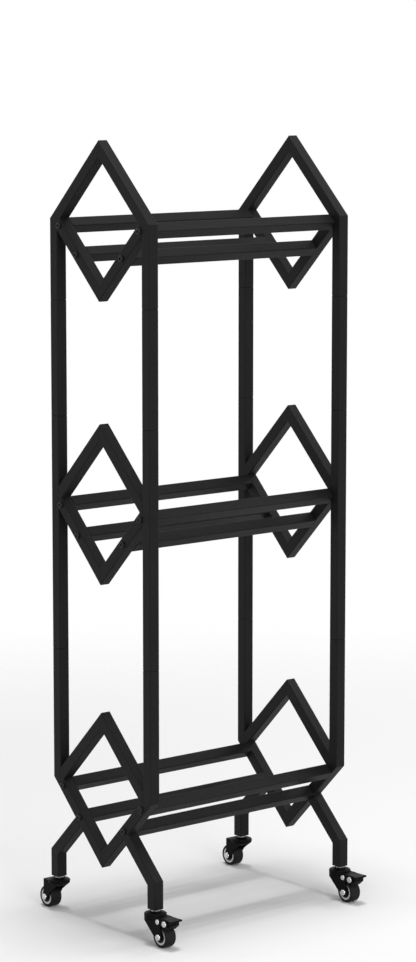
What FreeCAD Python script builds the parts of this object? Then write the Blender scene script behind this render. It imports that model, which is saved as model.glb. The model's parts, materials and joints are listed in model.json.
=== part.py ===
import FreeCAD, Part
import math
import os
import re
import Sketcher

# Rolling three-tier record rack: two end frames of square steel tube joined by twelve rails,
# standing on four swivel casters. Millimetres. X runs along the rails, Y from front to back
# and Z up. The origin is on the floor, under the middle of the frame.

SIZES = {
    # end frames, as heights above the floor and distances over the outer faces
    "rack_length": 421,
    "rack_depth": 257,
    "tube_size": 19,
    "tube_wall": 1,
    "tube_corner": 1.5,
    "top_apex": 1285.7,
    "top_valley": 1029.3,
    "middle_apex": 832.7,
    "middle_valley": 570.3,
    "bottom_apex": 359.4,
    "bottom_valley": 99.6,
    "upper_seam": 1025,
    "spacer_seam": 835,
    "lower_seam": 448,
    "seam_chamfer": 0.65,
    # legs
    "leg_reach": 128.5,
    "brace_reach": 57.2,
    "leg_end": 58,
    # rails: distance of each rail's middle from the rack's middle plane
    "outer_rail_reach": 103.7,
    "inner_rail_reach": 58.9,
    # sleeves inside the posts, and the fits of what slides or turns
    "sleeve_length": 60,
    "sleeve_wall": 1.2,
    "slide_clearance": 0.1,
    "running_clearance": 0.06,
    "turning_gap": 0.5,
    # bolts that hold the rails
    "bolt_diameter": 6,
    "bolt_hole_diameter": 6.6,
    "bolt_head_diameter": 10.6,
    "bolt_head_height": 3.3,
    "bolt_head_round": 1.8,
    "bolt_engagement": 14,
    "socket_size": 4,
    "socket_depth": 2.2,
    "nut_length": 18,
    # caster stems, swivel caps and bearing balls
    "insert_length": 26,
    "stem_diameter": 8,
    "stem_thread_length": 22,
    "collar_size": 14,
    "collar_height": 3,
    "rivet_diameter": 13,
    "rivet_height": 2.2,
    "cap_diameter": 37,
    "cap_height": 5.2,
    "cap_wall": 1.6,
    "cap_rim_height": 1.8,
    "cap_top_diameter": 18,
    "cap_round": 2.4,
    "ball_circle_diameter": 17,
    # caster forks
    "crown_diameter": 36.4,
    "crown_height": 6.2,
    "crown_taper": 3.5,
    "race_lip": 1.9,
    "race_groove": 1,
    "hood_reach": 26.5,
    "hood_drop": 0.3,
    "arm_wall": 2.4,
    "arm_front": 12.7,
    "arch_reach": 8,
    "arch_height": 30.5,
    "skirt_drop": 3.8,
    "arm_toe": 12.5,
    "knee_height": 30,
    "boss_diameter": 14.4,
    "trail": 23.5,
    # wheels
    "wheel_diameter": 36,
    "wheel_width": 20,
    "tread_thickness": 4.7,
    "tread_round": 2.2,
    "face_depth": 1.2,
    "hub_diameter": 11,
    "ring_width": 3.1,
    "ring_thickness": 0.9,
    "wheel_gap": 0.6,
    "hub_gap": 0.2,
    "axle_diameter": 6,
    "axle_head_diameter": 10.6,
    "axle_head_height": 2.8,
    "axle_head_round": 2,
    # brakes on the front casters
    "ear_reach": 44.5,
    "ear_height": 11,
    "pivot_reach": 39,
    "pivot_height": 43.2,
    "pin_diameter": 4,
    "pin_head_diameter": 10,
    "pin_head_height": 2.4,
    "brake_screw_reach": 22.5,
    "brake_screw_height": 43.5,
    "brake_screw_length": 1.8,
    "screw_head_diameter": 8.6,
    "pedal_reach": 53.5,
    "pedal_tip_height": 49.8,
    "pedal_tip_thickness": 2.6,
    "pedal_root_height": 49.2,
    "pedal_width": 24,
    "sole_reach": 48,
    "sole_height": 39.5,
    "shoe_reach": 39.5,
    "shoe_height": 32,
    "brake_gap": 2,
    "grip_groove": 2.2,
}

# distances that follow from the sizes
HALF_DEPTH = "(rack_depth / 2)"
POST_INNER = "(rack_depth / 2 - tube_size)"
CAP_TOP = "(leg_end - collar_height)"
CAP_BOTTOM = "(leg_end - collar_height - cap_height)"
CROWN_TOP = "(leg_end - collar_height - cap_height - turning_gap)"
CROWN_BOTTOM = "(leg_end - collar_height - cap_height - turning_gap - crown_height)"
HOOD_TOP = f"({CROWN_TOP} - hood_drop)"
AXLE_HEIGHT = "(wheel_diameter / 2)"
FORK_INNER = "(wheel_width / 2 + wheel_gap)"
FORK_OUTER = "(wheel_width / 2 + wheel_gap + arm_wall)"
CORE_RADIUS = "(wheel_diameter / 2 - tread_thickness)"
LEFT_TUBE_MIDDLE = "(tube_size / 2 - rack_length / 2)"

TIERS = ("top", "middle", "bottom")
RAIL_REACHES = {"outer": "outer_rail_reach", "inner": "inner_rail_reach"}
CORNERS = {
    "front_left": (-1, -1),
    "front_right": (1, -1),
    "rear_left": (-1, 1),
    "rear_right": (1, 1),
}
BALL_COUNT = 10
GROOVE_COUNT = 3
HEXAGON_SIDES = 6
UP = FreeCAD.Vector(0, 0, 1)
ACROSS = FreeCAD.Vector(1, 0, 0)
START_RADIUS = 10.0
NEAR = 1e-4

doc = FreeCAD.newDocument("record_rack")
sheet = doc.addObject("Spreadsheet::Sheet", "Sizes")
for row, (size_name, size) in enumerate(SIZES.items(), start=1):
    sheet.set(f"A{row}", size_name)
    sheet.set(f"B{row}", str(size))
    sheet.setAlias(f"B{row}", size_name)
doc.recompute()
nodes = []


def sized(text):
    """An expression with each size name pointing to its cell of the sheet."""
    return re.sub(r"[a-z_]+", lambda m: "Sizes." + m.group() if m.group() in SIZES else m.group(), text)


def node(thing):
    """Count an object as one of the rack's pieces."""
    nodes.append(thing)
    return thing


def new_body(label):
    return doc.addObject("PartDesign::Body", label)


def new_sketch(body, role, name, offset=None):
    """A sketch on one of the body's own planes, moved along the plane's normal if asked."""
    plane = next(f for f in body.Origin.OriginFeatures if f.Role == role)
    sketch = body.newObject("Sketcher::SketchObject", f"{body.Label}_{name}")
    sketch.AttachmentSupport = (plane, [""])
    sketch.MapMode = "FlatFace"
    if offset:
        sketch.setExpression("AttachmentOffset.Base.z", sized(offset))
    return sketch


def fix_point(sketch, geometry, position, start, place):
    """Tie a sketch point's two distances from the origin to expressions."""
    for kind, value, text in (("DistanceX", start.x, place[0]), ("DistanceY", start.y, place[1])):
        index = sketch.addConstraint(Sketcher.Constraint(kind, -1, 1, geometry, position, value))
        sketch.setExpression(f"Constraints[{index}]", sized(text))


def add_polygon(sketch, points):
    """A closed outline through points given as pairs of expressions."""
    first = sketch.GeometryCount
    count = len(points)
    starts = []
    for i in range(count):
        angle = 2 * math.pi * i / count
        starts.append(FreeCAD.Vector(math.cos(angle), math.sin(angle), 0) * START_RADIUS)
    for i in range(count):
        sketch.addGeometry(Part.LineSegment(starts[i], starts[(i + 1) % count]))
    for i in range(count):
        following = first + (i + 1) % count
        sketch.addConstraint(Sketcher.Constraint("Coincident", first + i, 2, following, 1))
    for i, place in enumerate(points):
        fix_point(sketch, first + i, 1, starts[i], place)


def add_circle(sketch, place, radius):
    start = FreeCAD.Vector(START_RADIUS, START_RADIUS, 0)
    circle = sketch.addGeometry(Part.Circle(start, UP, 1.0))
    fix_point(sketch, circle, 3, start, place)
    index = sketch.addConstraint(Sketcher.Constraint("Radius", circle, 1.0))
    sketch.setExpression(f"Constraints[{index}]", sized(radius))


def hexagon(size):
    """Corners of a hexagon about the origin, from its size across flats."""
    corners = []
    for i in range(HEXAGON_SIDES):
        angle = math.tau * i / HEXAGON_SIDES
        reach = f"{size} / sqrt(3)"
        corners.append((f"{reach} * {math.cos(angle):.6f}", f"{reach} * {math.sin(angle):.6f}"))
    return corners


def rectangle(low, high):
    return [low, (low[0], high[1]), high, (high[0], low[1])]


def pad(body, sketch, length, symmetric=False):
    feature = body.newObject("PartDesign::Pad", f"{sketch.Label}_pad")
    feature.Profile = sketch
    feature.setExpression("Length", sized(length))
    if symmetric:
        feature.SideType = "Symmetric"
    doc.recompute()
    return feature


def cut(body, sketch, length, symmetric=True):
    """Cut a sketch out of the body, evenly about its plane or along the plane's normal."""
    before = body.Tip.Shape.Volume
    feature = body.newObject("PartDesign::Pocket", f"{sketch.Label}_cut")
    feature.Profile = sketch
    feature.setExpression("Length", sized(length))
    if symmetric:
        feature.SideType = "Symmetric"
    else:
        feature.Reversed = True
    doc.recompute()
    if not feature.Shape.Volume < before:
        raise RuntimeError(f"{feature.Label} cuts nothing")
    return feature


def revolve(body, sketch, axis):
    feature = body.newObject("PartDesign::Revolution", f"{sketch.Label}_turned")
    feature.Profile = sketch
    feature.ReferenceAxis = (sketch, [axis])
    feature.Angle = 360
    doc.recompute()
    return feature


def fillet(body, picked, radius):
    """Round the edges of the body's last feature that picked(edge) accepts."""
    base = body.Tip
    names = [f"Edge{i}" for i, edge in enumerate(base.Shape.Edges, start=1) if picked(edge)]
    feature = body.newObject("PartDesign::Fillet", f"{body.Label}_round")
    feature.Base = (base, names)
    feature.setExpression("Radius", sized(radius))
    doc.recompute()
    return feature


def chamfer_end(body, end):
    """Break the outer edges of an upright tube's lower or upper end."""
    base = body.Tip
    box = base.Shape.BoundBox
    height = box.ZMin if end == "lower" else box.ZMax
    names = []
    for i, edge in enumerate(base.Shape.Edges, start=1):
        rim = edge.BoundBox
        outside = abs(rim.XMin - box.XMin) < NEAR or abs(rim.XMax - box.XMax) < NEAR
        outside = outside or abs(rim.YMin - box.YMin) < NEAR or abs(rim.YMax - box.YMax) < NEAR
        if outside and abs(rim.ZMin - height) < NEAR and abs(rim.ZMax - height) < NEAR:
            names.append(f"Edge{i}")
    feature = body.newObject("PartDesign::Chamfer", f"{body.Label}_{end}_chamfer")
    feature.Base = (base, names)
    feature.setExpression("Size", sized("seam_chamfer"))
    doc.recompute()
    return feature


def runs_along(edge, direction):
    if edge.Curve.TypeId != "Part::GeomLine":
        return False
    return edge.Curve.Direction.cross(direction).Length < NEAR


def at_limit(value, low, high):
    return abs(value - low) < NEAR or abs(value - high) < NEAR


def place(thing, x, y, z):
    """Tie an object's place to expressions."""
    for axis, text in (("x", x), ("y", y), ("z", z)):
        thing.setExpression(f"Placement.Base.{axis}", sized(text))


def turn(thing, axis, angle):
    thing.Placement = FreeCAD.Placement(FreeCAD.Vector(), FreeCAD.Rotation(axis, angle))


def mirrored(source, normal, label, base_x=None):
    copy = doc.addObject("Part::Mirroring", label)
    copy.Source = source
    copy.Normal = normal
    if base_x:
        copy.setExpression("Base.x", sized(base_x))
    return copy


def group(things, label):
    compound = doc.addObject("Part::Compound", label)
    compound.Links = things
    return compound


def four_corners(things, label):
    """The pieces at the rear left corner, repeated at the other three."""
    rear = group(things, f"{label}_rear_left")
    front = mirrored(rear, FreeCAD.Vector(0, 1, 0), f"{label}_front_left")
    left = group([rear, front], f"{label}_left")
    right = mirrored(left, ACROSS, f"{label}_right")
    return group([left, right], label)


def slope(tier):
    """How steeply a tier's arms rise for each step outwards: half way from valley to apex at the posts."""
    return f"(({tier}_apex - {tier}_valley) / rack_depth)"


def stretch(tier):
    """Length of a slanted arm for each step outwards."""
    return f"sqrt(1 + {slope(tier)} ^ 2)"


def band(tier):
    """Height of a slanted arm, measured upright."""
    return f"(tube_size * {stretch(tier)})"


def waist(tier):
    return f"(({tier}_apex + {tier}_valley) / 2)"


def inner_waist(tier):
    """Where the inner faces of a tier's arms meet, as a distance from the middle plane."""
    return f"({HALF_DEPTH} - {band(tier)} / {slope(tier)})"


def mitred_tube(label, outline, cavity, holes=()):
    """A hollow square tube of the left end frame; its outline's first side runs along the tube."""
    body = new_body(label)
    profile = new_sketch(body, "YZ_Plane", "outline")
    add_polygon(profile, outline)
    pad(body, profile, "tube_size", symmetric=True)
    hollow = new_sketch(body, "YZ_Plane", "hollow")
    add_polygon(hollow, cavity)
    cut(body, hollow, "tube_size - 2 * tube_wall")
    box = body.Tip.Shape.BoundBox
    first_side = profile.Geometry[0].EndPoint - profile.Geometry[0].StartPoint
    along = FreeCAD.Vector(0, first_side.x, first_side.y).normalize()

    def long_corner(edge):
        return runs_along(edge, along) and at_limit(edge.CenterOfMass.x, box.XMin, box.XMax)

    fillet(body, long_corner, "tube_corner")
    if holes:
        drilled = new_sketch(body, "YZ_Plane", "holes")
        for hole in holes:
            add_circle(drilled, hole, "bolt_hole_diameter / 2")
        cut(body, drilled, "2 * tube_size")
    place(body, LEFT_TUBE_MIDDLE, "0", "0")
    return body


def strip(end, rise, low, high):
    """The hollow of a slanted tube: its lower and upper lines at the middle plane, and their rise."""
    return [("0", low), (end, f"{low} + {rise} * {end}"), (end, f"{high} + {rise} * {end}"), ("0", high)]


def roof_hollow(tier, end):
    wall = f"tube_wall * {stretch(tier)}"
    return strip(end, f"-{slope(tier)}", f"{tier}_apex - {band(tier)} + {wall}", f"{tier}_apex - {wall}")


def valley_hollow(tier, end):
    wall = f"tube_wall * {stretch(tier)}"
    return strip(end, slope(tier), f"{tier}_valley + {wall}", f"{tier}_valley + {band(tier)} - {wall}")


def post(label, low, high, open_ends):
    body = mitred_tube(label, rectangle((POST_INNER, low), (HALF_DEPTH, high)),
                       rectangle((f"{POST_INNER} + tube_wall", low), (f"{HALF_DEPTH} - tube_wall", high)))
    for end in open_ends:
        chamfer_end(body, end)
    return body


def rail_middle(tier, reach):
    """Height of a rail's middle, half way through the valley arm."""
    return f"{tier}_valley + {band(tier)} / 2 + {slope(tier)} * {reach}"


def rail_holes(tier):
    return [(reach, rail_middle(tier, reach)) for reach in RAIL_REACHES.values()]


def roof_arm(tier):
    """A roof arm that ends on the post and on the valley arm."""
    outline = [
        ("0", f"{tier}_apex"), (POST_INNER, f"{tier}_apex - {slope(tier)} * {POST_INNER}"),
        (POST_INNER, waist(tier)), (inner_waist(tier), waist(tier)), ("0", f"{tier}_apex - {band(tier)}"),
    ]
    return mitred_tube(f"{tier}_roof_arm", outline, roof_hollow(tier, POST_INNER))


def valley_arm(tier):
    """A valley arm that ends on the post and under the roof arm."""
    outline = [
        ("0", f"{tier}_valley"), (POST_INNER, f"{tier}_valley + {slope(tier)} * {POST_INNER}"),
        (POST_INNER, waist(tier)), (inner_waist(tier), waist(tier)), ("0", f"{tier}_valley + {band(tier)}"),
    ]
    return mitred_tube(f"{tier}_valley_arm", outline, valley_hollow(tier, POST_INNER), rail_holes(tier))


def top_frame():
    roof = [
        ("0", "top_apex"), (HALF_DEPTH, waist("top")), (inner_waist("top"), waist("top")),
        ("0", f"top_apex - {band('top')}"),
    ]
    return [
        mitred_tube("top_roof_arm", roof, roof_hollow("top", HALF_DEPTH)),
        post("top_post", "upper_seam", waist("top"), ["lower"]),
        valley_arm("top"),
    ]


def middle_frame():
    return [
        roof_arm("middle"),
        post("middle_post", "lower_seam", "spacer_seam", ["lower", "upper"]),
        valley_arm("middle"),
    ]


def leg_tubes():
    """Each leg leaves the valley arm square to it, close to the inner rail, and bends to the upright."""
    rise = slope("bottom")
    lean = f"({rise} / {stretch('bottom')})"
    run = f"(1 / {stretch('bottom')})"
    leg_inner = "(leg_reach - tube_size / 2)"
    leg_outer = "(leg_reach + tube_size / 2)"
    low_start = f"(brace_reach + tube_size / 2 * ({lean} - {run}))"
    high_start = f"(brace_reach + tube_size / 2 * ({lean} + {run}))"
    low_hollow = f"({low_start} + tube_wall * {run})"
    high_hollow = f"({high_start} - tube_wall * {run})"

    def on_arm(reach):
        return reach, f"bottom_valley + {rise} * {reach}"

    def down_leg(start, reach):
        return reach, f"bottom_valley + {rise} * {start} - ({reach} - {start}) / {rise}"

    low_elbow = down_leg(low_start, leg_inner)
    high_elbow = down_leg(high_start, leg_outer)
    brace = [on_arm(low_start), low_elbow, high_elbow, on_arm(high_start)]
    brace_hollow = [
        on_arm(low_hollow), down_leg(low_hollow, leg_outer),
        down_leg(high_hollow, leg_outer), on_arm(high_hollow),
    ]
    foot = [(leg_inner, "leg_end"), low_elbow, high_elbow, (leg_outer, "leg_end")]
    foot_hollow = rectangle((f"{leg_inner} + tube_wall", "leg_end"),
                            (f"{leg_outer} - tube_wall", high_elbow[1]))
    return [mitred_tube("leg_brace", brace, brace_hollow), mitred_tube("leg_foot", foot, foot_hollow)]


def bottom_frame():
    arm = [
        ("0", "bottom_valley"), (HALF_DEPTH, waist("bottom")), (inner_waist("bottom"), waist("bottom")),
        ("0", f"bottom_valley + {band('bottom')}"),
    ]
    return [
        roof_arm("bottom"),
        post("bottom_post", waist("bottom"), "lower_seam", ["upper"]),
        mitred_tube("bottom_valley_arm", arm, valley_hollow("bottom", HALF_DEPTH), rail_holes("bottom")),
    ] + leg_tubes()


def end_frames():
    for tier, rear_tubes in (("top", top_frame()), ("middle", middle_frame()), ("bottom", bottom_frame())):
        rear = group(rear_tubes, f"{tier}_frame_rear")
        front = mirrored(rear, FreeCAD.Vector(0, 1, 0), f"{tier}_frame_front")
        left = node(group([rear, front], f"left_{tier}_frame"))
        node(mirrored(left, ACROSS, f"right_{tier}_frame"))


def straight_tube(label, role, size, wall, length, corner):
    """A square tube about its middle line, along the plane's normal."""
    body = new_body(label)
    profile = new_sketch(body, role, "section")
    half = f"({size} / 2)"
    inner = f"({size} / 2 - {wall})"
    add_polygon(profile, rectangle((f"-{half}", f"-{half}"), (half, half)))
    add_polygon(profile, rectangle((f"-{inner}", f"-{inner}"), (inner, inner)))
    pad(body, profile, length)
    box = body.Tip.Shape.BoundBox

    def outer_corner(edge):
        middle = edge.CenterOfMass
        limits = [
            at_limit(middle.x, box.XMin, box.XMax),
            at_limit(middle.y, box.YMin, box.YMax),
            at_limit(middle.z, box.ZMin, box.ZMax),
        ]
        return sum(limits) == 2 and runs_along(edge, ACROSS if role == "YZ_Plane" else UP)

    fillet(body, outer_corner, corner)
    return body


def side(sign, text):
    return text if sign > 0 else f"-({text})"


def spacer_posts():
    for corner, (end, face) in CORNERS.items():
        tube = straight_tube(f"{corner}_spacer_post", "XY_Plane", "tube_size", "tube_wall",
                             "upper_seam - spacer_seam", "tube_corner")
        place(tube, corner_x(end), side(face, f"{HALF_DEPTH} - tube_size / 2"), "spacer_seam")
        chamfer_end(tube, "lower")
        chamfer_end(tube, "upper")
        node(tube)


def post_sleeves():
    """Sleeves inside the posts, half in each of the two tubes that meet at a seam."""
    size = "(tube_size - 2 * tube_wall - 2 * slide_clearance)"
    sleeves = []
    for seam in ("upper_seam", "spacer_seam", "lower_seam"):
        sleeve = straight_tube(f"{seam}_sleeve", "XY_Plane", size, "sleeve_wall", "sleeve_length",
                               "slide_clearance * 5")
        place(sleeve, LEFT_TUBE_MIDDLE, f"{HALF_DEPTH} - tube_size / 2", f"{seam} - sleeve_length / 2")
        sleeves.append(sleeve)
    node(four_corners(sleeves, "post_sleeves"))


def lay_along_arm(thing, tier, reach, sign=1):
    """Place a rail's piece against the left end frame, turned to the slope of the valley arm."""
    turn(thing, ACROSS * sign, 45)
    thing.setExpression("Placement.Rotation.Angle", sized(f"atan({slope(tier)})"))
    place(thing, "tube_size - rack_length / 2", side(sign, reach), rail_middle(tier, reach))


def rails():
    for tier in TIERS:
        for face, sign in (("front", -1), ("rear", 1)):
            for spot, reach in RAIL_REACHES.items():
                rail = straight_tube(f"{tier}_{face}_{spot}_rail", "YZ_Plane", "tube_size", "tube_wall",
                                     "rack_length - 2 * tube_size", "tube_corner")
                lay_along_arm(rail, tier, reach, sign)
                node(rail)


def rail_nut(label, tier, reach):
    """Threaded plug in a rail's end."""
    body = new_body(label)
    section = new_sketch(body, "YZ_Plane", "section")
    half = "(tube_size / 2 - tube_wall - slide_clearance)"
    add_polygon(section, rectangle((f"-{half}", f"-{half}"), (half, half)))
    add_circle(section, ("0", "0"), "bolt_diameter / 2 + running_clearance")
    pad(body, section, "nut_length")
    lay_along_arm(body, tier, reach)
    return body


def rail_bolt(label, tier, reach):
    """Button-head bolt through a valley arm into the rail's end plug."""
    body = new_body(label)
    profile = new_sketch(body, "XZ_Plane", "profile")
    tip = "tube_size + bolt_engagement"
    shank = "bolt_diameter / 2"
    head = "bolt_head_diameter / 2"
    add_polygon(profile, [
        ("-bolt_head_height", "0"), (tip, "0"), (tip, shank),
        ("0", shank), ("0", head), ("-bolt_head_height", head),
    ])
    revolve(body, profile, "H_Axis")
    outside = body.Tip.Shape.BoundBox.XMin
    fillet(body, lambda e: abs(e.CenterOfMass.x - outside) < NEAR, "bolt_head_round")
    socket = new_sketch(body, "YZ_Plane", "socket", "-bolt_head_height")
    add_polygon(socket, hexagon("socket_size"))
    cut(body, socket, "socket_depth", symmetric=False)
    place(body, "-rack_length / 2", reach, rail_middle(tier, reach))
    return body


def rail_fasteners():
    nuts = []
    bolts = []
    for tier in TIERS:
        for spot, reach in RAIL_REACHES.items():
            nuts.append(rail_nut(f"{tier}_{spot}_nut", tier, reach))
            bolts.append(rail_bolt(f"{tier}_{spot}_bolt", tier, reach))
    node(four_corners(nuts, "rail_end_nuts"))
    node(four_corners(bolts, "rail_bolts"))


def leg_inserts():
    """Threaded plugs in the legs' open ends, which take the caster stems."""
    body = new_body("leg_insert")
    section = new_sketch(body, "XY_Plane", "section")
    half = "(tube_size / 2 - tube_wall - slide_clearance)"
    add_polygon(section, rectangle((f"-{half}", f"-{half}"), (half, half)))
    add_circle(section, ("0", "0"), "stem_diameter / 2 + running_clearance")
    pad(body, section, "insert_length")
    place(body, LEFT_TUBE_MIDDLE, "leg_reach", "leg_end")
    node(four_corners([body], "leg_inserts"))


def caster_stems():
    """Threaded stems, each with a hexagonal collar under the leg and a riveted end under the crown."""
    body = new_body("caster_stem")
    profile = new_sketch(body, "XZ_Plane", "profile")
    rivet_top = f"{CROWN_BOTTOM} - turning_gap / 2"
    top = "leg_end + stem_thread_length"
    add_polygon(profile, [
        ("0", f"{rivet_top} - rivet_height"), ("rivet_diameter / 2", f"{rivet_top} - rivet_height"),
        ("rivet_diameter / 2", rivet_top), ("stem_diameter / 2", rivet_top),
        ("stem_diameter / 2", top), ("0", top),
    ])
    revolve(body, profile, "V_Axis")
    collar = new_sketch(body, "XY_Plane", "collar", CAP_TOP)
    add_polygon(collar, hexagon("collar_size"))
    pad(body, collar, "collar_height")
    place(body, LEFT_TUBE_MIDDLE, "leg_reach", "0")
    node(four_corners([body], "caster_stems"))


def swivel_caps():
    """Low cone-shaped covers fixed on the stems, over the bearing balls."""
    body = new_body("swivel_cap")
    profile = new_sketch(body, "XZ_Plane", "profile")
    bore = "stem_diameter / 2"
    rim = "cap_diameter / 2"
    flat = "cap_top_diameter / 2"
    roof = f"{CAP_TOP} - cap_wall"
    rim_top = f"{CAP_BOTTOM} + cap_rim_height"
    add_polygon(profile, [
        (bore, CAP_TOP), (flat, CAP_TOP), (rim, rim_top), (rim, CAP_BOTTOM),
        (f"{rim} - cap_wall", CAP_BOTTOM),
        (f"{rim} - cap_wall", f"{rim_top} - cap_wall / 2"), (flat, roof), (bore, roof),
    ])
    revolve(body, profile, "V_Axis")
    box = body.Tip.Shape.BoundBox

    def shoulder(edge):
        if edge.Curve.TypeId != "Part::GeomCircle":
            return False
        return edge.Curve.Radius > box.XMax - NEAR and edge.CenterOfMass.z > box.ZMin + NEAR

    fillet(body, shoulder, "cap_round")
    place(body, LEFT_TUBE_MIDDLE, "leg_reach", "0")
    node(four_corners([body], "swivel_caps"))


def corner_x(end):
    return side(end, "rack_length / 2 - tube_size / 2")


def on_caster(thing, corner, reach="0", height="0"):
    """Place a piece drawn about a caster's swivel axis, its trail turned outwards, front or rear."""
    end, face = CORNERS[corner]
    if face < 0:
        turn(thing, UP, 180)
    place(thing, corner_x(end), side(face, f"leg_reach + {reach}"), height)
    return thing


def fork(corner, braked):
    """Crown, hood and two arms, with ears for the pedal's pin where braked and a tapered crown where not."""
    body = new_body(f"{corner}_fork")
    crown = new_sketch(body, "XZ_Plane", "crown")
    rim = "crown_diameter / 2"
    foot = rim if braked else f"{rim} - crown_taper"
    lip = f"{CROWN_TOP} - race_lip"
    add_polygon(crown, [
        ("0", CROWN_BOTTOM), (foot, CROWN_BOTTOM),
        (rim, f"{lip} - race_groove"), (f"{rim} - race_groove", f"{lip} - race_groove"),
        (f"{rim} - race_groove", lip), (rim, lip), (rim, CROWN_TOP), ("0", CROWN_TOP),
    ])
    revolve(body, crown, "V_Axis")
    hood = new_sketch(body, "YZ_Plane", "hood")
    add_polygon(hood, rectangle(("stem_diameter", CROWN_BOTTOM), ("hood_reach", HOOD_TOP)))
    pad(body, hood, f"2 * {FORK_OUTER}", symmetric=True)
    arms = new_sketch(body, "YZ_Plane", "arms")
    shoulder = f"{CROWN_BOTTOM} + crown_height / 2"
    if braked:
        front_edge = [("-arm_front", f"{CROWN_BOTTOM} - skirt_drop"), ("trail - arm_toe", AXLE_HEIGHT)]
    else:
        front_edge = [("arch_reach", "arch_height"), ("trail - boss_diameter / 2", AXLE_HEIGHT)]
    add_polygon(arms, [("-arm_front", shoulder)] + front_edge + [
        ("trail + boss_diameter / 2", AXLE_HEIGHT), ("hood_reach", "knee_height"), ("hood_reach", shoulder),
    ])
    pad(body, arms, f"2 * {FORK_OUTER}", symmetric=True)
    bosses = new_sketch(body, "YZ_Plane", "bosses")
    add_circle(bosses, ("trail", AXLE_HEIGHT), "boss_diameter / 2")
    pad(body, bosses, f"2 * {FORK_OUTER}", symmetric=True)
    if braked:
        ears = new_sketch(body, "YZ_Plane", "ears")
        add_polygon(ears, rectangle(("brake_screw_reach", "pivot_height - ear_height / 2"),
                                    ("ear_reach", "pivot_height + ear_height / 2")))
        pad(body, ears, f"2 * {FORK_OUTER}", symmetric=True)
    slot = new_sketch(body, "YZ_Plane", "slot")
    far = "trail + wheel_diameter"
    add_polygon(slot, [
        ("-cap_diameter", "-wheel_diameter"), (far, "-wheel_diameter"),
        (far, "leg_end"), ("hood_reach", "leg_end"),
        ("hood_reach", CROWN_BOTTOM), ("-cap_diameter", CROWN_BOTTOM),
    ])
    cut(body, slot, f"2 * {FORK_INNER}")
    bore = new_sketch(body, "XY_Plane", "bore")
    add_circle(bore, ("0", "0"), "stem_diameter / 2 + running_clearance")
    cut(body, bore, "4 * leg_end")
    cross = new_sketch(body, "YZ_Plane", "cross_holes")
    add_circle(cross, ("trail", AXLE_HEIGHT), "axle_diameter / 2 + running_clearance")
    if braked:
        add_circle(cross, ("pivot_reach", "pivot_height"), "pin_diameter / 2 + running_clearance")
    cut(body, cross, f"4 * {FORK_OUTER}")
    if braked:
        screw_holes = (
            ("screw_hole_low", f"-{FORK_OUTER}"),
            ("screw_hole_high", f"{FORK_OUTER} - brake_screw_length"),
        )
        for name, offset in screw_holes:
            hole = new_sketch(body, "YZ_Plane", name, offset)
            add_circle(hole, ("brake_screw_reach", "brake_screw_height"),
                       "pin_diameter / 2 + running_clearance")
            cut(body, hole, "brake_screw_length", symmetric=False)
    return node(on_caster(body, corner))


def swivel_balls(corner):
    balls = []
    radius = f"(({CAP_TOP} - cap_wall - {CROWN_TOP}) / 2 - running_clearance)"
    end, face = CORNERS[corner]
    for i in range(BALL_COUNT):
        angle = math.tau * i / BALL_COUNT
        ball = doc.addObject("Part::Sphere", f"{corner}_ball_{i + 1}")
        ball.setExpression("Radius", sized(radius))
        x = f"{corner_x(end)} + ball_circle_diameter / 2 * {math.cos(angle):.6f}"
        y = f"{side(face, 'leg_reach')} + ball_circle_diameter / 2 * {math.sin(angle):.6f}"
        place(ball, x, y, f"({CAP_TOP} - cap_wall + {CROWN_TOP}) / 2")
        balls.append(ball)
    return node(group(balls, f"{corner}_swivel_balls"))


def turned_across(label, outline):
    """A piece turned about an axis along X, from an outline of places along it and radii."""
    body = new_body(label)
    profile = new_sketch(body, "XZ_Plane", "profile")
    add_polygon(profile, outline)
    revolve(body, profile, "H_Axis")
    return body


def headed_pin(label, radius, head_radius, head_height):
    """A pin across the fork with a head outside each arm."""
    end = f"{FORK_OUTER} + {head_height}"
    body = turned_across(label, [
        (f"-({end})", "0"), (end, "0"), (end, head_radius), (FORK_OUTER, head_radius), (FORK_OUTER, radius),
        (f"-{FORK_OUTER}", radius), (f"-{FORK_OUTER}", head_radius), (f"-({end})", head_radius),
    ])
    return body


def end_rims(body):
    """Picks the edges of a turned piece that lie in its two end faces."""
    box = body.Tip.Shape.BoundBox
    return lambda e: e.Curve.TypeId == "Part::GeomCircle" and at_limit(e.CenterOfMass.x, box.XMin, box.XMax)


def axle(corner):
    body = headed_pin(f"{corner}_axle", "axle_diameter / 2", "axle_head_diameter / 2", "axle_head_height")
    fillet(body, end_rims(body), "axle_head_round")
    return node(on_caster(body, corner, "trail", AXLE_HEIGHT))


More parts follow.
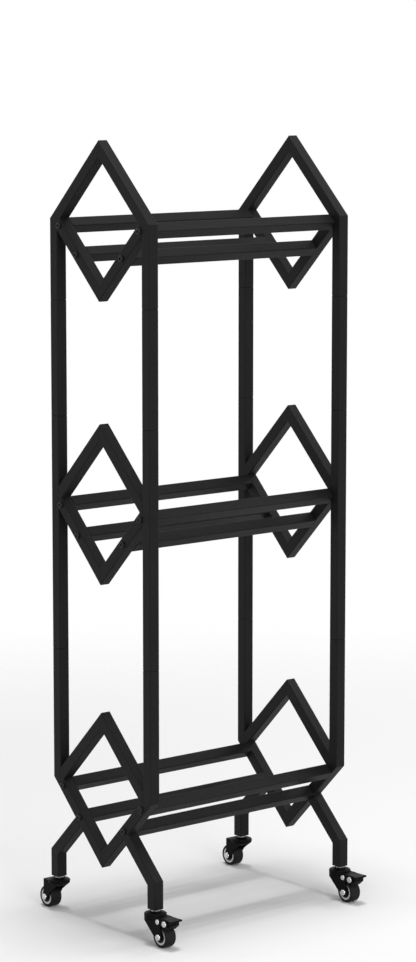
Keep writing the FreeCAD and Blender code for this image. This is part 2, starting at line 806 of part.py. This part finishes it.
def wheel(corner):
    """Core, tread and a bright ring in each face of the core."""
    face = "wheel_width / 2"
    dish = "(wheel_width / 2 - face_depth)"
    hub = "(wheel_width / 2 + wheel_gap - hub_gap)"
    core = turned_across(f"{corner}_wheel_core", [
        (f"-{hub}", "axle_diameter / 2 + running_clearance"),
        (hub, "axle_diameter / 2 + running_clearance"),
        (hub, "hub_diameter / 2"), (dish, "hub_diameter / 2"), (dish, CORE_RADIUS),
        (f"-{dish}", CORE_RADIUS), (f"-{dish}", "hub_diameter / 2"), (f"-{hub}", "hub_diameter / 2"),
    ])
    node(on_caster(core, corner, "trail", AXLE_HEIGHT))
    tread = turned_across(f"{corner}_tread", [
        (f"-{face}", CORE_RADIUS), (face, CORE_RADIUS),
        (face, "wheel_diameter / 2"), (f"-{face}", "wheel_diameter / 2"),
    ])
    radius = tread.Tip.Shape.BoundBox.ZMax

    def outer_rim(edge):
        return edge.Curve.TypeId == "Part::GeomCircle" and edge.Curve.Radius > radius - NEAR

    fillet(tread, outer_rim, "tread_round")
    node(on_caster(tread, corner, "trail", AXLE_HEIGHT))
    ring = turned_across(f"{corner}_ring_side", [
        (dish, f"{CORE_RADIUS} - ring_width"), (f"{dish} + ring_thickness", f"{CORE_RADIUS} - ring_width"),
        (f"{dish} + ring_thickness", CORE_RADIUS), (dish, CORE_RADIUS),
    ])
    on_caster(ring, corner, "trail", AXLE_HEIGHT)
    other = mirrored(ring, ACROSS, f"{corner}_ring_other_side", corner_x(CORNERS[corner][0]))
    node(group([ring, other], f"{corner}_wheel_rings"))


def brake_pedal(corner):
    """Foot pedal on a pin behind the wheel: a shoe hollowed to the tread and a sole grooved for grip."""
    body = new_body(f"{corner}_brake_pedal")
    root = "(hood_reach + brake_gap)"
    underside = ("sole_reach", "pedal_tip_height - 2 * pedal_tip_thickness")
    sole_out = ("sole_reach", "sole_height")
    sole_in = ("shoe_reach", "shoe_height")
    block = new_sketch(body, "YZ_Plane", "block")
    add_polygon(block, [
        (root, "pedal_root_height"), ("pedal_reach", "pedal_tip_height"),
        ("pedal_reach", "pedal_tip_height - pedal_tip_thickness"), underside, sole_out, sole_in,
        ("trail + hub_diameter", f"{AXLE_HEIGHT} + hub_diameter"), (root, f"{AXLE_HEIGHT} * 2 + brake_gap"),
    ])
    pad(body, block, f"2 * ({FORK_INNER} - turning_gap)", symmetric=True)
    lever = new_sketch(body, "YZ_Plane", "lever")
    inner = "(ear_reach + brake_gap)"
    slope = f"(pedal_tip_height - pedal_root_height) / (pedal_reach - {root})"
    inner_top = f"pedal_root_height + {slope} * ({inner} - {root})"
    add_polygon(lever, [
        (inner, inner_top), ("pedal_reach", "pedal_tip_height"),
        ("pedal_reach", "pedal_tip_height - pedal_tip_thickness"), underside,
        (inner, f"{inner_top} - 2 * pedal_tip_thickness"),
    ])
    pad(body, lever, "pedal_width", symmetric=True)
    shoe = new_sketch(body, "YZ_Plane", "shoe")
    add_circle(shoe, ("trail", AXLE_HEIGHT), "wheel_diameter / 2 + brake_gap")
    cut(body, shoe, "4 * wheel_width")
    bore = new_sketch(body, "YZ_Plane", "bore")
    add_circle(bore, ("pivot_reach", "pivot_height"), "pin_diameter / 2 + running_clearance")
    cut(body, bore, "4 * wheel_width")
    grooves = new_sketch(body, "YZ_Plane", "grooves")
    for i in range(GROOVE_COUNT):
        share = (i + 1) / (GROOVE_COUNT + 1)
        middle = [f"({a}) * {1 - share:.4f} + ({b}) * {share:.4f}" for a, b in zip(sole_in, sole_out)]
        half = "grip_groove / 2"
        add_polygon(grooves, [
            (f"{middle[0]} - {half}", middle[1]), (middle[0], f"{middle[1]} - {half}"),
            (f"{middle[0]} + {half}", middle[1]), (middle[0], f"{middle[1]} + {half}"),
        ])
    cut(body, grooves, "4 * wheel_width")
    return node(on_caster(body, corner))


def brake_pin(corner):
    body = headed_pin(f"{corner}_brake_pin", "pin_diameter / 2", "pin_head_diameter / 2", "pin_head_height")
    fillet(body, end_rims(body), "pin_head_height / 2")
    return node(on_caster(body, corner, "pivot_reach", "pivot_height"))


def brake_screws(corner):
    """A short screw in each side of the fork."""
    screw = turned_across(f"{corner}_screw_side", [
        (f"{FORK_OUTER} - brake_screw_length", "0"), (f"{FORK_OUTER} + pin_head_height", "0"),
        (f"{FORK_OUTER} + pin_head_height", "screw_head_diameter / 2"),
        (FORK_OUTER, "screw_head_diameter / 2"),
        (FORK_OUTER, "pin_diameter / 2"), (f"{FORK_OUTER} - brake_screw_length", "pin_diameter / 2"),
    ])
    outside = screw.Tip.Shape.BoundBox.XMax
    fillet(screw, lambda e: abs(e.CenterOfMass.x - outside) < NEAR, "pin_head_height / 2")
    on_caster(screw, corner, "brake_screw_reach", "brake_screw_height")
    other = mirrored(screw, ACROSS, f"{corner}_screw_other_side", corner_x(CORNERS[corner][0]))
    return node(group([screw, other], f"{corner}_brake_screws"))


def casters():
    leg_inserts()
    caster_stems()
    swivel_caps()
    for corner, (_, face) in CORNERS.items():
        braked = face < 0
        fork(corner, braked)
        swivel_balls(corner)
        axle(corner)
        wheel(corner)
        if braked:
            brake_pedal(corner)
            brake_pin(corner)
            brake_screws(corner)


def check_and_write():
    doc.recompute()
    for thing in doc.Objects:
        if "Invalid" in thing.State or "Error" in thing.State:
            raise RuntimeError(f"{thing.Label} failed: {thing.State}")
    for piece in nodes:
        if piece.Shape.isNull() or not piece.Shape.isValid() or not piece.Shape.Solids:
            raise RuntimeError(f"{piece.Label} has no valid solid")
    os.makedirs("parts", exist_ok=True)
    for piece in nodes:
        piece.Shape.exportStep(os.path.join("parts", f"{piece.Label}.step"))
        print(piece.Label, len(piece.Shape.Solids), round(piece.Shape.Volume, 1))


end_frames()
spacer_posts()
post_sleeves()
rails()
rail_fasteners()
casters()
check_and_write()
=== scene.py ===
import json

import bpy
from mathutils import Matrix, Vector

# Rolling record rack: looks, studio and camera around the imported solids. Metres, Z up.

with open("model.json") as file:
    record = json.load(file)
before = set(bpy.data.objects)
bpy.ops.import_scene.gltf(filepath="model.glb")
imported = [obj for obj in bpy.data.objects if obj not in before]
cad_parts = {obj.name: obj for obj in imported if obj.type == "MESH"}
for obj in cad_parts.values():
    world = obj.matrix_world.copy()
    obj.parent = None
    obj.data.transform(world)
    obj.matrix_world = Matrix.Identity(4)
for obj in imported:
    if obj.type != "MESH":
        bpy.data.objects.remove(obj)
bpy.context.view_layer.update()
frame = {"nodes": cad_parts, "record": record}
nodes = frame["nodes"]

# camera fitted to the rack's edges in a picture this many pixels high
IMAGE_HEIGHT = 962
FOCAL_PIXELS = 2975
SENSOR_HEIGHT = 36.0
EYE = Vector((-3.113, -3.747, 1.430))
LOOK = Vector((0.6344, 0.7595, -0.1440))

# floor: its side, its paint, and the distances from the middle between which it fades away
FLOOR_SIZE = 12.0
FLOOR_PAINT = (0.87, 0.87, 0.87, 1)
FADE_START = 0.7
FADE_END = 2.6

# white surround: how strongly it lights the object, and how bright it is where it is seen
WHITE = (1, 1, 1, 1)
SURROUND_LIGHT = 0.38
SURROUND_SEEN = 1.0

# lamps: place, point aimed at, diameter, watts
LAMPS = {
    "overhead": ((0, 0, 6), (0, 0, 0), 1.4, 192),
    "front": ((-0.7, -3.8, 1.8), (0, 0, 0.7), 2.4, 66),
    "side": ((2.0, -0.55, 1.95), (0, 0, 0.1), 0.9, 8),
}

# black finishes lean a little to blue
BLUE_LEAN = 1.02

# most of a noise texture's values lie between these
NOISE_LOW = 0.3
NOISE_HIGH = 0.7

# rays per sample to find the edges that are softened
EDGE_SAMPLES = 6

# a mix node's colour sockets, which share their names with those of other data types
MIX_FACTOR = 0
MIX_FIRST = 6
MIX_SECOND = 7
MIX_RESULT = 2


class NodeTree:
    """Short calls to build the nodes of a material or a world."""

    def __init__(self, owner):
        owner.use_nodes = True
        self.tree = owner.node_tree
        self.tree.nodes.clear()

    def add(self, kind, values=None, **settings):
        """A new node with its settings and the values of its inputs."""
        item = self.tree.nodes.new(kind)
        for key, setting in settings.items():
            setattr(item, key, setting)
        for key, value in (values or {}).items():
            item.inputs[key].default_value = value
        return item

    def link(self, socket, target, into):
        self.tree.links.new(socket, target.inputs[into])

    def mix(self, factor, first, second):
        """Two shader sockets mixed by a factor socket."""
        item = self.add("ShaderNodeMixShader")
        self.link(factor, item, "Fac")
        self.link(first, item, 1)
        self.link(second, item, 2)
        return item.outputs["Shader"]

    def output(self, kind, shader):
        """End the tree in an output node of this kind."""
        self.link(shader, self.add(kind), "Surface")


class Painter(NodeTree):
    """A material with one principled shader, textured in each object's own space."""

    def __init__(self, name):
        self.material = bpy.data.materials.new(name)
        super().__init__(self.material)
        self.shader = self.add("ShaderNodeBsdfPrincipled")
        self.output("ShaderNodeOutputMaterial", self.shader.outputs["BSDF"])
        self.place = self.add("ShaderNodeTexCoord").outputs["Object"]

    def set(self, **values):
        for key, value in values.items():
            self.shader.inputs[key.replace("_", " ")].default_value = value

    def noise(self, scale, detail=4.0, roughness=0.55):
        item = self.add("ShaderNodeTexNoise", {"Scale": scale, "Detail": detail, "Roughness": roughness})
        self.link(self.place, item, "Vector")
        return item.outputs["Fac"]

    def cells(self, scale):
        """Distance to the middle of the nearest of many small cells."""
        item = self.add("ShaderNodeTexVoronoi", {"Scale": scale})
        self.link(self.place, item, "Vector")
        return item.outputs["Distance"]

    def ramp(self, socket, start, end):
        """Colours from a start to an end, each a position and a colour."""
        item = self.add("ShaderNodeValToRGB")
        for element, (position, colour) in zip(item.color_ramp.elements, (start, end)):
            element.position = position
            element.color = (*colour, 1)
        self.link(socket, item, "Fac")
        return item.outputs["Color"]

    def rough(self, socket, low, high):
        """Roughness from low to high over a noise's usual values."""
        span = {"From Min": NOISE_LOW, "From Max": NOISE_HIGH, "To Min": low, "To Max": high}
        item = self.add("ShaderNodeMapRange", span)
        self.link(socket, item, "Value")
        self.link(item.outputs["Result"], self.shader, "Roughness")

    def soften(self, radius):
        """Shade the edges as if they were rounded, before any bump."""
        item = self.add("ShaderNodeBevel", {"Radius": radius}, samples=EDGE_SAMPLES)
        self.link(item.outputs["Normal"], self.shader, "Normal")
        return item.outputs["Normal"]

    def bump(self, socket, strength, distance):
        """Fine relief on top of the relief and soft edges already there."""
        item = self.add("ShaderNodeBump", {"Strength": strength, "Distance": distance})
        self.link(socket, item, "Height")
        last = self.shader.inputs["Normal"]
        if last.is_linked:
            self.link(last.links[0].from_socket, item, "Normal")
        self.link(item.outputs["Normal"], self.shader, "Normal")

    def span(self, socket, low, high):
        """A 0 to 1 factor from a value's low to its high."""
        item = self.add("ShaderNodeMapRange", {"From Min": low, "From Max": high})
        self.link(socket, item, "Value")
        return item.outputs["Result"]

    def edges(self, softened, low, high):
        """How far the softened normal leans from the flat one: near 1 on edges, 0 on faces."""
        lean = self.add("ShaderNodeVectorMath", operation="DOT_PRODUCT")
        self.link(self.add("ShaderNodeNewGeometry").outputs["Normal"], lean, 0)
        self.link(softened, lean, 1)
        return self.span(lean.outputs["Value"], high, low)

    def blend(self, factor, first, second):
        """Two colour sockets mixed by a factor socket."""
        item = self.add("ShaderNodeMix", data_type="RGBA")
        self.link(factor, item, MIX_FACTOR)
        self.link(first, item, MIX_FIRST)
        self.link(second, item, MIX_SECOND)
        return item.outputs[MIX_RESULT]

    def colour(self, socket):
        self.link(socket, self.shader, "Base Color")


def black(value):
    return (value, value, value * BLUE_LEAN)


def powder_coat():
    """Fine-grained matte black coat, a little uneven from spraying, rubbed along the edges and lighter
    there as a painted highlight.
    """
    p = Painter("powder_coat")
    softened = p.soften(radius=0.0012)
    cloud = p.noise(scale=9.0, detail=3.0)
    peel = p.noise(scale=700.0, detail=3.0, roughness=0.6)
    grain = p.noise(scale=2600.0, detail=2.0, roughness=0.6)
    fresh = p.ramp(cloud, (0.3, black(0.0060)), (0.7, black(0.0090)))
    dusty = p.ramp(cloud, (0.3, black(0.0095)), (0.7, black(0.0130)))
    body = p.blend(p.span(peel, low=0.42, high=0.62), fresh, dusty)
    # lighter along the edges: partly wear, partly a painted highlight where light catches the rounded
    # corners
    rubbed_and_highlit = p.ramp(p.noise(scale=60.0), (0.35, black(0.012)), (0.7, black(0.024)))
    p.colour(p.blend(p.edges(softened, low=0.80, high=0.99), body, rubbed_and_highlit))
    p.rough(cloud, low=0.42, high=0.54)
    p.bump(peel, strength=0.5, distance=0.00035)
    p.bump(grain, strength=0.25, distance=0.0001)
    p.set(Specular_IOR_Level=0.1)
    return p.material


def black_bolt():
    """Oxide-black steel with a fine uneven surface."""
    p = Painter("black_bolt")
    p.soften(radius=0.0005)
    cloud = p.noise(scale=300.0, detail=3.0)
    p.colour(p.ramp(cloud, (0.3, black(0.010)), (0.7, black(0.020))))
    p.rough(cloud, low=0.3, high=0.45)
    p.bump(p.noise(scale=2500.0, detail=2.0), strength=0.2, distance=0.0001)
    p.set(Metallic=0.5, Specular_IOR_Level=0.3)
    return p.material


def zinc_steel():
    """Zinc-plated steel with spangle mottling, darkened on its faces as painted shade and dark
    reflection, with painted glints along the edges.
    """
    p = Painter("zinc_steel")
    softened = p.soften(radius=0.0006)
    spangle = p.cells(scale=400.0)
    # faces: zinc spangle mottling, darkened well below bare zinc as painted shade and dark reflection
    spangle_and_painted_shade = p.ramp(spangle, (0.1, (0.10, 0.10, 0.10)), (0.7, (0.46, 0.46, 0.45)))
    # edges: painted glints, a pale metal colour where light catches the rounded corners
    painted_edge_glint = p.ramp(spangle, (0.0, (0.70, 0.70, 0.69)), (1.0, (0.82, 0.82, 0.81)))
    p.colour(p.blend(p.edges(softened, low=0.80, high=0.99), spangle_and_painted_shade, painted_edge_glint))
    p.rough(p.noise(scale=200.0), low=0.25, high=0.4)
    p.set(Metallic=1.0)
    return p.material


def caster_black():
    """Moulded satin black with a fine spark-eroded grain, lighter along the edges from polishing and
    from a painted highlight.
    """
    p = Painter("caster_black")
    softened = p.soften(radius=0.0011)
    cloud = p.noise(scale=120.0, detail=3.0)
    body = p.ramp(cloud, (0.3, black(0.0018)), (0.7, black(0.0040)))
    # lighter along the edges: partly polish, partly a painted highlight where light catches the rounded
    # corners
    worn_and_highlit = p.ramp(p.noise(scale=400.0, detail=3.0), (0.35, black(0.014)), (0.7, black(0.042)))
    p.colour(p.blend(p.edges(softened, low=0.75, high=0.99), body, worn_and_highlit))
    p.rough(cloud, low=0.36, high=0.48)
    p.bump(p.noise(scale=2200.0, detail=2.0), strength=0.3, distance=0.0001)
    p.set(Specular_IOR_Level=0.05)
    return p.material


def bright_metal():
    """Polished plating with faint smears."""
    p = Painter("bright_metal")
    p.soften(radius=0.0004)
    smear = p.noise(scale=500.0, detail=3.0)
    p.colour(p.ramp(smear, (0.3, (0.56, 0.56, 0.57)), (0.7, (0.68, 0.68, 0.69))))
    p.rough(smear, low=0.14, high=0.26)
    p.set(Metallic=1.0)
    return p.material


def ring_metal():
    """Dulled bright ring in a wheel's face, finely marked."""
    p = Painter("ring_metal")
    p.soften(radius=0.0003)
    marks = p.noise(scale=700.0, roughness=0.7)
    p.colour(p.ramp(marks, (0.3, (0.46, 0.46, 0.47)), (0.7, (0.56, 0.56, 0.57))))
    p.rough(marks, low=0.28, high=0.42)
    p.set(Metallic=1.0)
    return p.material


def tread_rubber():
    """Black polyurethane tread, a little scuffed."""
    p = Painter("tread_rubber")
    scuff = p.noise(scale=350.0, detail=5.0, roughness=0.65)
    p.colour(p.ramp(scuff, (0.35, black(0.0045)), (0.7, black(0.0095))))
    p.rough(scuff, low=0.45, high=0.6)
    p.bump(scuff, strength=0.15, distance=0.0002)
    p.set(Specular_IOR_Level=0.15)
    return p.material


def core_plastic():
    """Black moulded wheel core."""
    p = Painter("core_plastic")
    p.soften(radius=0.0005)
    cloud = p.noise(scale=260.0, detail=3.0)
    p.colour(p.ramp(cloud, (0.3, black(0.004)), (0.7, black(0.007))))
    p.rough(cloud, low=0.3, high=0.42)
    p.bump(p.noise(scale=1800.0, detail=2.0), strength=0.15, distance=0.0001)
    p.set(Specular_IOR_Level=0.25)
    return p.material


def paint_nodes():
    """Each node takes the finish named by its material slot, but the wheels' rings have their own."""
    makers = (
        powder_coat, black_bolt, zinc_steel, caster_black,
        bright_metal, tread_rubber, core_plastic,
    )
    finishes = {maker.__name__: maker() for maker in makers}
    rings = ring_metal()
    for part in frame["record"]["subparts"]:
        finish = rings if part["node"].endswith("_wheel_rings") else finishes[part["material_slot"]]
        mesh = nodes[part["node"]].data
        mesh.materials.clear()
        mesh.materials.append(finish)


def studio_floor():
    """A pale floor that fades into the white surround away from the object."""
    bpy.ops.mesh.primitive_plane_add(size=FLOOR_SIZE, location=(0, 0, 0))
    floor = bpy.context.object
    floor.name = "studio_floor"
    material = bpy.data.materials.new("studio_floor")
    tree = NodeTree(material)
    reach = tree.add("ShaderNodeVectorMath", operation="LENGTH")
    tree.link(tree.add("ShaderNodeNewGeometry").outputs["Position"], reach, 0)
    span = {"From Min": FADE_START, "From Max": FADE_END}
    fade = tree.add("ShaderNodeMapRange", span, interpolation_type="SMOOTHSTEP")
    tree.link(reach.outputs["Value"], fade, "Value")
    paint = tree.add("ShaderNodeBsdfDiffuse", {"Color": FLOOR_PAINT}).outputs["BSDF"]
    clear = tree.add("ShaderNodeBsdfTransparent").outputs["BSDF"]
    tree.output("ShaderNodeOutputMaterial", tree.mix(fade.outputs["Result"], paint, clear))
    floor.data.materials.append(material)


def studio_world():
    """White to the camera and to mirror-like surfaces, a soft even surround for the rest."""
    world = bpy.data.worlds.new("studio")
    bpy.context.scene.world = world
    tree = NodeTree(world)
    rays = tree.add("ShaderNodeLightPath")
    seen = rays.outputs["Is Camera Ray"]
    for kind in ("Is Glossy Ray", "Is Transmission Ray"):
        either = tree.add("ShaderNodeMath", operation="MAXIMUM")
        tree.link(seen, either, 0)
        tree.link(rays.outputs[kind], either, 1)
        seen = either.outputs["Value"]
    soft = tree.add("ShaderNodeBackground", {"Color": WHITE, "Strength": SURROUND_LIGHT})
    white = tree.add("ShaderNodeBackground", {"Color": WHITE, "Strength": SURROUND_SEEN})
    surround = tree.mix(seen, soft.outputs["Background"], white.outputs["Background"])
    tree.output("ShaderNodeOutputWorld", surround)


def soft_light(name, place, target, size, power):
    """A round lamp facing its target."""
    light = bpy.data.lights.new(name, "AREA")
    light.shape = "DISK"
    light.size = size
    light.energy = power
    lamp = bpy.data.objects.new(name, light)
    lamp.location = place
    lamp.rotation_euler = (Vector(target) - Vector(place)).to_track_quat("-Z", "Y").to_euler()
    bpy.context.collection.objects.link(lamp)


def camera():
    """The camera at EYE, facing along LOOK."""
    optics = bpy.data.cameras.new("camera")
    optics.sensor_fit = "VERTICAL"
    optics.sensor_height = SENSOR_HEIGHT
    optics.lens = FOCAL_PIXELS / IMAGE_HEIGHT * SENSOR_HEIGHT
    holder = bpy.data.objects.new("camera", optics)
    holder.location = EYE
    holder.rotation_euler = LOOK.to_track_quat("-Z", "Y").to_euler()
    bpy.context.collection.objects.link(holder)
    bpy.context.scene.camera = holder


paint_nodes()
studio_floor()
studio_world()
for lamp_name, lamp_settings in LAMPS.items():
    soft_light(lamp_name, *lamp_settings)
camera()
bpy.context.scene.view_settings.view_transform = "Standard"
